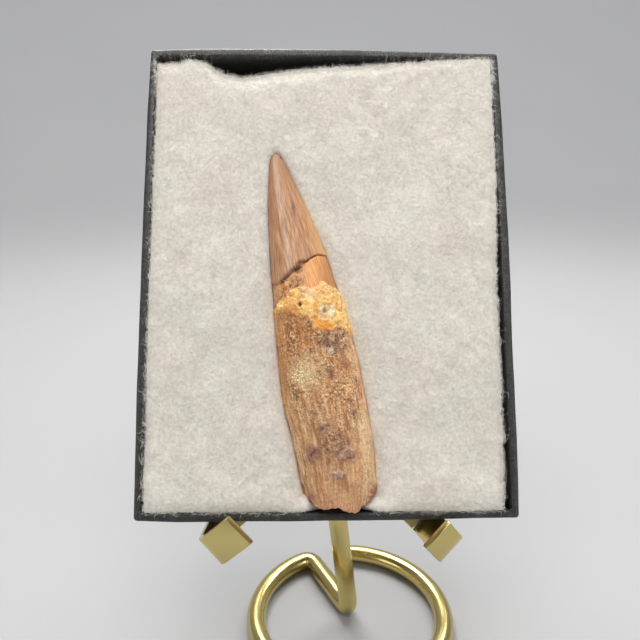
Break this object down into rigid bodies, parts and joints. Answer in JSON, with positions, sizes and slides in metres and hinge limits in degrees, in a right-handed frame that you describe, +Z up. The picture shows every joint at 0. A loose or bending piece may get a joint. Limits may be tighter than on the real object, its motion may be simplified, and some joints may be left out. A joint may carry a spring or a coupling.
{
  "type": "fossil dinosaur tooth",
  "caption": "Long conical fossil dinosaur tooth with its rough root, lying on white batting in an open black card tray that leans back on a bent brass rod stand.",
  "frame": {"origin": "on the surface that the stand's ring rests on, under the middle of the whole thing's box", "axes": "+Z up; the tray's open side and the tooth face -Y and lean back towards +Y; +X to the right as seen from the front"},
  "size_m": [0.0826, 0.0728, 0.1402],
  "materials": {
    "fossil": "glossy brown crown with fine lengthwise lines, dark crack, cream and orange matrix band, rough gritty root",
    "batting": "soft white loose fibre fill",
    "black_card": "black paper with a fine leather grain, slightly shiny, worn grey on its edges",
    "brass": "polished, lightly lacquered"
  },
  "bodies": {
    "root": {"tooth": "fossil", "batting": "batting", "tray": "black_card", "stand_rod": "brass", "left_arm": "brass", "right_arm": "brass"}
  },
  "joints": []
}
